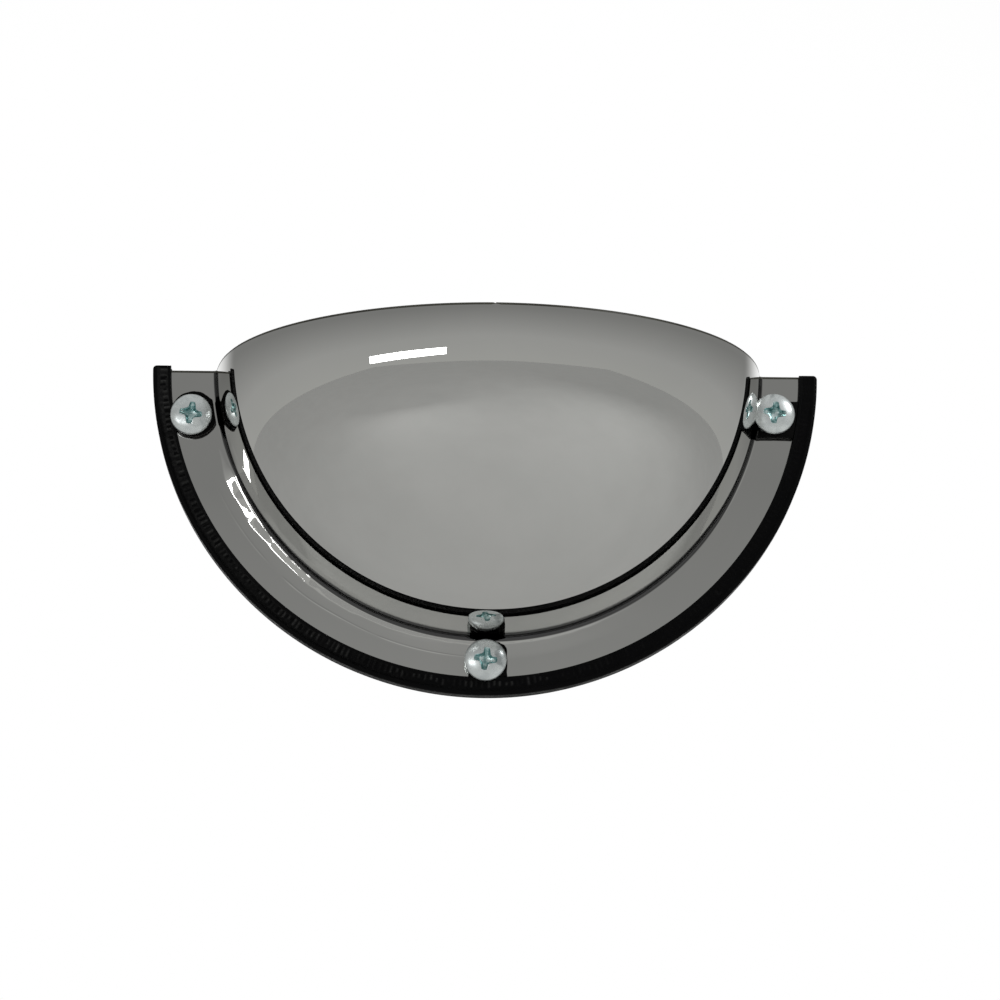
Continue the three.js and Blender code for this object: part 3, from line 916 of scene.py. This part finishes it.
def build_screw(side, turn_deg):
    cx, cz = FIXINGS[side]
    n = 72
    top = HEAD_SEAT - HEAD_H
    prof = [(0.0, top)]
    for i in range(1, 19):                      # low dome of the head
        a = PI / 2 * (1 - i / 18)
        prof.append((HEAD_R * math.cos(a), HEAD_SEAT - HEAD_RIM - (HEAD_H - HEAD_RIM) * math.sin(a)))
    prof += [(HEAD_R, HEAD_SEAT - 0.9), (HEAD_R, HEAD_SEAT - 0.35), (HEAD_R - 0.1, HEAD_SEAT - 0.12), (HEAD_R - 0.35, HEAD_SEAT)]
    prof += [(SHANK_R + 0.5, HEAD_SEAT), (SHANK_R, HEAD_SEAT + 0.35)]
    plain_to = -2.0
    prof += [(SHANK_R, plain_to - 0.2)]
    n_plain = len(prof)
    ys = np.arange(plain_to, SHANK_END - 0.2, 0.30)
    pitch, deep = 1.8, 0.62
    verts, rings = [], []
    for r, y in prof:
        if r == 0:
            rings.append([len(verts)]); verts.append((cx, y, cz)); continue
        rings.append(list(range(len(verts), len(verts) + n)))
        for k in range(n):
            a = 2 * PI * k / n
            verts.append((cx + r * math.cos(a), y, cz + r * math.sin(a)))
    for y in ys:
        rings.append(list(range(len(verts), len(verts) + n)))
        grow = min(1.0, (y - plain_to) / 1.5)
        point = min(1.0, (SHANK_END - y) / 6.0)
        for k in range(n):
            a = 2 * PI * k / n
            f = (y / pitch - k / n) % 1.0
            ridge = max(0.0, 1 - abs(f - 0.5) / 0.24)
            r = (SHANK_R - deep * grow * (1 - ridge)) * (0.18 + 0.82 * point)
            verts.append((cx + r * math.cos(a), y, cz + r * math.sin(a)))
    rings.append([len(verts)]); verts.append((cx, SHANK_END, cz))
    faces, fm = [], []
    for i in range(len(rings) - 1):
        a, b = rings[i], rings[i + 1]
        for k in range(n):
            k2 = (k + 1) % n
            if len(a) == 1:
                faces.append((a[0], b[k], b[k2]))
            elif len(b) == 1:
                faces.append((a[k], b[0], a[k2]))
            else:
                faces.append((a[k], b[k], b[k2], a[k2]))
            fm.append(0 if i < 23 else 2)
    ob = make(f"screw_{side}_visual", verts, faces, (ZINC, RECESS, THREAD), fm, True)
    bm = bmesh.new()
    bm.from_mesh(ob.data)
    bmesh.ops.recalc_face_normals(bm, faces=bm.faces)
    bm.to_mesh(ob.data)
    bm.free()
    # cutter: the cross, wide at the face and narrow below, over a conical pilot
    turn = math.radians(turn_deg)
    layers = [(top - 0.6, 10.7, 3.15, 4.4), (top + 0.45, 9.9, 2.8, 4.0), (top + 1.35, 8.4, 2.1, 3.3), (top + 2.3, 3.9, 1.6, 2.6)]
    cv, cf = [], []
    for y, span, width, neck in layers:
        for uu, vv in cross_outline(span, width, neck):
            cv.append((cx + uu * math.cos(turn) - vv * math.sin(turn), y, cz + uu * math.sin(turn) + vv * math.cos(turn)))
    m = len(cross_outline(1, 1, 1))
    for i in range(len(layers) - 1):
        for k in range(m):
            k2 = (k + 1) % m
            cf.append((i * m + k, i * m + k2, (i + 1) * m + k2, (i + 1) * m + k))
    cf.append(tuple(range(m)))
    last = (len(layers) - 1) * m
    cv.append((cx, top + 2.34, cz))
    for k in range(m):
        cf.append((last + k, last + (k + 1) % m, len(cv) - 1))
    cutter = make(f"cross_{side}", cv, cf, (), None, False)
    bm = bmesh.new()
    bm.from_mesh(cutter.data)
    bmesh.ops.triangulate(bm, faces=[f for f in bm.faces if len(f.verts) > 4])
    bmesh.ops.recalc_face_normals(bm, faces=bm.faces)
    bm.to_mesh(cutter.data)
    bm.free()
    boolean_cut(ob, [cutter])
    me = ob.data
    idx = []
    for p in me.polygons:
        c = p.center * 1000
        r = math.hypot(c.x - cx, c.z - cz)
        if c.y < HEAD_SEAT - 0.4 and r < 6.2:
            surf = HEAD_SEAT - HEAD_RIM - (HEAD_H - HEAD_RIM) * math.sqrt(max(0.0, 1 - (r / HEAD_R) ** 2))
            idx.append(1 if c.y > surf + 0.06 else 0)
        else:
            idx.append(0 if c.y < HEAD_SEAT + 0.1 else 2)
    me.polygons.foreach_set("material_index", np.array(idx, np.int32))
    me.polygons.foreach_set("use_smooth", np.full(len(me.polygons), True))
    me.set_sharp_from_angle(angle=math.radians(30))
    b = ob.modifiers.new("soft_edges", "BEVEL")
    b.width, b.segments, b.limit_method, b.angle_limit = 0.00016, 2, "ANGLE", math.radians(38)
    b.use_clamp_overlap = True
    bpy.context.view_layer.update()
    apply_modifiers(ob)
    ob.data.set_sharp_from_angle(angle=math.radians(32))
    return ob


screws = {s: build_screw(s, a) for s, a in (("left", -9.0), ("right", -7.0), ("bottom", -8.0))}


# ------------------------------------------------------------------ pads, spacers, plugs
def pad_inner(side):
    return {"left": 123.7, "right": 126.0, "bottom": 126.2}[side]


def pad_outline(side):
    """Outline of a pad in (x, z), in order."""
    r0, r1 = pad_inner(side), 141.62
    fx, fz = FIXINGS[side]
    pts = []
    if side == "right":
        zc = fz - 2.2
        z0, z1 = zc - 8.7, zc + 8.7
        for z in np.linspace(z1, z0, 14):
            pts.append((math.sqrt(r1 * r1 - z * z), z))
        for z in np.linspace(z0, z1, 14):
            pts.append((math.sqrt(r0 * r0 - z * z), z))
    elif side == "bottom":
        x0, x1, cr = -7.6, 9.7, 4.6
        for x in np.linspace(x1, x0, 14):
            pts.append((x, -math.sqrt(r1 * r1 - x * x)))
        for k in range(13):
            a = PI - k / 12 * PI / 2
            x, q = x0 + cr + cr * math.cos(a), r0 + cr - cr * math.sin(a)
            pts.append((x, -math.sqrt(q * q - x * x)))
        for k in range(13):
            a = PI / 2 - k / 12 * PI / 2
            x, q = x1 - cr + cr * math.cos(a), r0 + cr - cr * math.sin(a)
            pts.append((x, -math.sqrt(q * q - x * x)))
    else:
        cx, cz, rr = fx + 1.0, fz + 0.7, 10.6
        for k in range(72):
            a = 2 * PI * k / 72
            x, z = cx + rr * math.cos(a), cz + rr * math.sin(a)
            r = math.hypot(x, z)
            q = min(max(r, r0), r1)
            pts.append((x * q / r, z * q / r))
    return pts


def build_pad(side):
    pts = pad_outline(side)
    # a hand-cut look: the free edges wander a little
    wob = value_noise({"left": 3, "right": 8, "bottom": 13}[side])
    fine = []
    n = len(pts)
    for k in range(n):
        a, b = np.array(pts[k]), np.array(pts[(k + 1) % n])
        d = np.linalg.norm(b - a)
        steps = max(1, int(d / 1.1))
        for s in range(steps):
            fine.append(a + (b - a) * s / steps)
    P = np.array(fine)
    c = P.mean(0)
    s = np.cumsum(np.linalg.norm(np.diff(P, axis=0, append=P[:1]), axis=1))
    inset = 0.18 + 0.16 * wob(s / 2.3) + 0.08 * wob(s / 0.9 + 50)
    dirs = P - c
    dirs /= np.linalg.norm(dirs, axis=1, keepdims=True)
    rad = np.hypot(P[:, 0], P[:, 1])
    free = ((rad > pad_inner(side) + 0.25) & (rad < 141.4)).astype(float)       # the ends against the fold and the trim stay put
    P = P - dirs * (np.clip(inset, 0.02, 0.5) * free)[:, None]
    m = len(P)
    verts = [(x, PAD_BACK, z) for x, z in P] + [(x, PAD_FRONT, z) for x, z in P]
    faces = [tuple(range(m)), tuple(range(2 * m - 1, m - 1, -1))]
    for k in range(m):
        k2 = (k + 1) % m
        faces.append((k, k2, m + k2, m + k))
    ob = make(f"rubber_pad_{side}_visual", verts, faces, (PADR,), None, False)
    bm = bmesh.new()
    bm.from_mesh(ob.data)
    bmesh.ops.recalc_face_normals(bm, faces=bm.faces)
    bm.to_mesh(ob.data)
    bm.free()
    drill(ob, [FIXINGS[side]], HOLE_R, -12, -2)
    b = ob.modifiers.new("soft_edges", "BEVEL")
    b.width, b.segments, b.limit_method, b.angle_limit = 0.0002, 3, "ANGLE", math.radians(50)
    bpy.context.view_layer.update()
    apply_modifiers(ob)
    bm = bmesh.new()
    bm.from_mesh(ob.data)
    if side == "bottom":
        # its back follows the lift of the flange
        for zz in np.linspace(-133.0, -125.0, 9):
            bmesh.ops.bisect_plane(bm, geom=list(bm.verts) + list(bm.edges) + list(bm.faces), plane_co=(0, 0, zz / 1000), plane_no=(0, 0, 1))
        for v in bm.verts:
            q = v.co * 1000
            depth = (q.y - PAD_FRONT) / (PAD_BACK - PAD_FRONT)
            lift = float(lead_height(np.array(math.hypot(q.x, q.z)), np.array(math.degrees(math.atan2(q.z, q.x)) % 360)))
            v.co.y -= 0.001 * lift * depth
    bmesh.ops.triangulate(bm, faces=[f for f in bm.faces if len(f.verts) > 4])
    for f in bm.faces:
        f.smooth = True
    bm.to_mesh(ob.data)
    bm.free()
    ob.data.set_sharp_from_angle(angle=math.radians(40))
    return ob


pads = {s: build_pad(s) for s in FIXINGS}


def build_spacer(side):
    b, r0, r1 = -2.2, HOLE_R, SPACER_R
    prof = []
    prof += rounded(r0 + 0.3, b + 0.3, 0.3, PI, 1.5 * PI, 3)
    for r in (4.0, 5.2):
        prof += [(r - 0.15, b), (r, b + 0.12), (r + 0.15, b)]              # moulded rings
    prof += rounded(r1 - 0.35, b + 0.35, 0.35, 1.5 * PI, 2 * PI, 4)
    prof += [(r1 - 0.04, b / 2 - 0.3), (r1 - 0.12, b / 2), (r1 - 0.04, b / 2 + 0.3)]
    prof += rounded(r1 - 0.35, -0.35, 0.35, 0, 0.5 * PI, 4)
    prof += rounded(r0 + 0.3, -0.3, 0.3, 0.5 * PI, PI, 3)
    prof.append(prof[0])
    ob = lathe_y(f"rear_spacer_{side}_visual", prof, 64, FIXINGS[side], (PADR,), 40)
    bm = bmesh.new()
    bm.from_mesh(ob.data)
    bmesh.ops.remove_doubles(bm, verts=bm.verts, dist=1e-6)
    bmesh.ops.recalc_face_normals(bm, faces=bm.faces)
    bm.to_mesh(ob.data)
    bm.free()
    return ob


def build_plug(side):
    y0, y1, ro, ri = PLUG_Y0, PLUG_Y0 + PLUG_LEN, PLUG_R, PLUG_BORE
    prof = [(ri, y0 + 0.25), (ri + 0.25, y0), (ro - 0.2, y0), (ro, y0 + 0.2), (ro, y0 + 2.2), (ro - 0.35, y0 + 2.6)]
    y = y0 + 5.0
    while y < y1 - 5:
        prof += [(ro - 0.45, y - 1.8), (ro - 0.05, y), (ro - 0.55, y + 0.35)]
        y += 2.9
    prof += [(ro - 0.5, y1 - 3.6), (ro - 1.0, y1 - 0.3), (ro - 1.15, y1), (ri + 0.05, y1), (ri, y1 - 0.2)]
    prof.append(prof[0])
    ob = lathe_y(f"wall_plug_{side}_visual", prof, 48, FIXINGS[side], (NYLON,), 25)
    bm = bmesh.new()
    bm.from_mesh(ob.data)
    bmesh.ops.remove_doubles(bm, verts=bm.verts, dist=1e-6)
    bmesh.ops.recalc_face_normals(bm, faces=bm.faces)
    bm.to_mesh(ob.data)
    bm.free()
    cx, cz = FIXINGS[side]
    cutters = []
    for k, a in enumerate((PI / 4, -PI / 4)):
        c, s = math.cos(a), math.sin(a)
        vv = []
        for yy in (y0 + 9.5, y0 + 26.5):
            for du, dv in ((-10, -0.55), (10, -0.55), (10, 0.55), (-10, 0.55)):
                vv.append((cx + du * c - dv * s, yy, cz + du * s + dv * c))
        ff = [(0, 1, 2, 3), (7, 6, 5, 4), (0, 4, 5, 1), (1, 5, 6, 2), (2, 6, 7, 3), (3, 7, 4, 0)]
        cu = make(f"slot_{side}_{k}", vv, ff, (), None, False)
        bm = bmesh.new()
        bm.from_mesh(cu.data)
        bmesh.ops.recalc_face_normals(bm, faces=bm.faces)
        bm.to_mesh(cu.data)
        bm.free()
        cutters.append(cu)
    boolean_cut(ob, cutters)
    ob.data.polygons.foreach_set("use_smooth", np.full(len(ob.data.polygons), True))
    ob.data.set_sharp_from_angle(angle=math.radians(25))
    return ob


spacers = {s: build_spacer(s) for s in FIXINGS}
plugs = {s: build_plug(s) for s in FIXINGS}

# ------------------------------------------------------------------ every piece rides on the one body
for ob, node, slot in [
    (sheet, "mirror_dome", "mirror_sheet"),
    (trim, "edge_trim", "trim_rubber"),
    (carrier, "trim_steel_carrier", "carrier_steel"),
    *[(pads[s], f"rubber_pad_{s}", "pad_rubber") for s in FIXINGS],
    *[(screws[s], f"screw_{s}", "screw_zinc") for s in FIXINGS],
    *[(spacers[s], f"rear_spacer_{s}", "pad_rubber") for s in FIXINGS],
    *[(plugs[s], f"wall_plug_{s}", "plug_nylon") for s in FIXINGS],
]:
    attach(ob, "root")
    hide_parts(node)

# ------------------------------------------------------------------ studio: floor, light, world
# pale studio floor, well below the mirror
fl = bpy.data.meshes.new("studio_floor")
size = 6.0
fl.from_pydata([(-size, -size, -0.62), (size, -size, -0.62), (size, size, -0.62), (-size, size, -0.62)], [], [(0, 1, 2, 3)])
floor = bpy.data.objects.new("studio_floor", fl)
scene.collection.objects.link(floor)
fm_ = Mat("studio_floor_face")
fn = fm_.noise(3, 4, 0.6)
fm_.principled(fm_.ramp(fn, [(0.3, (0.80, 0.80, 0.79, 1)), (0.7, (0.84, 0.84, 0.83, 1))]), fm_.grey(fn, [(0.3, 0.6), (0.7, 0.75)]), 0.0)
fl.materials.append(fm_.m)


def strip(name, loc, aim, width, height, energy):
    d = bpy.data.lights.new(name, "AREA")
    d.shape, d.size, d.size_y, d.energy = "RECTANGLE", width, height, energy
    o = bpy.data.objects.new(name, d)
    scene.collection.objects.link(o)
    o.location = loc
    o.rotation_mode = "QUATERNION"
    o.rotation_quaternion = (Vector(loc) - Vector(aim)).to_track_quat("Z", "Y")
    return o


strip("strip_softbox", (-0.848, -1.417, -0.062), (0, -0.06, -0.06), 0.85, 0.07, 2.0)
strip("right_softbox", (1.5, -1.3, 1.1), (0, -0.05, -0.08), 0.5, 0.5, 11.0)

# soft light all round: white behind the mirror, greyer in front of it, paler overhead
world = bpy.data.worlds.new("World")
scene.world = world
world.use_nodes = True
wt = world.node_tree
bg = next(n for n in wt.nodes if n.type == "BACKGROUND")
bg.inputs["Strength"].default_value = 1.0
tc = wt.nodes.new("ShaderNodeTexCoord")
sep = wt.nodes.new("ShaderNodeSeparateXYZ")
wt.links.new(tc.outputs["Generated"], sep.inputs[0])


def remap(src, a, b):
    n = wt.nodes.new("ShaderNodeMapRange")
    n.interpolation_type = "SMOOTHSTEP"
    n.inputs["From Min"].default_value, n.inputs["From Max"].default_value = a, b
    wt.links.new(src, n.inputs["Value"])
    return n.outputs["Result"]


tall = wt.nodes.new("ShaderNodeValToRGB")
wt.links.new(remap(sep.outputs["Z"], -0.35, 0.75), tall.inputs[0])
el = tall.color_ramp.elements
el[0].position, el[0].color = 0.0, (0.50, 0.50, 0.48, 1)
el[1].position, el[1].color = 1.0, (0.46, 0.46, 0.455, 1)
e2 = tall.color_ramp.elements.new(0.32)
e2.color = (0.44, 0.44, 0.43, 1)
e3 = tall.color_ramp.elements.new(0.58)
e3.color = (0.265, 0.265, 0.26, 1)
e4 = tall.color_ramp.elements.new(0.70)
e4.color = (0.27, 0.27, 0.265, 1)
e5 = tall.color_ramp.elements.new(0.90)
e5.color = (0.43, 0.43, 0.425, 1)
mixn = wt.nodes.new("ShaderNodeMix")
mixn.data_type = "RGBA"
wt.links.new(remap(sep.outputs["Y"], 0.62, 0.92), mixn.inputs["Factor"])
ca, cb = [i for i in mixn.inputs if i.type == "RGBA"]
wt.links.new(tall.outputs["Color"], ca)
cb.default_value = (1.0, 1.0, 1.0, 1.0)
wt.links.new([o for o in mixn.outputs if o.type == "RGBA"][0], bg.inputs["Color"])
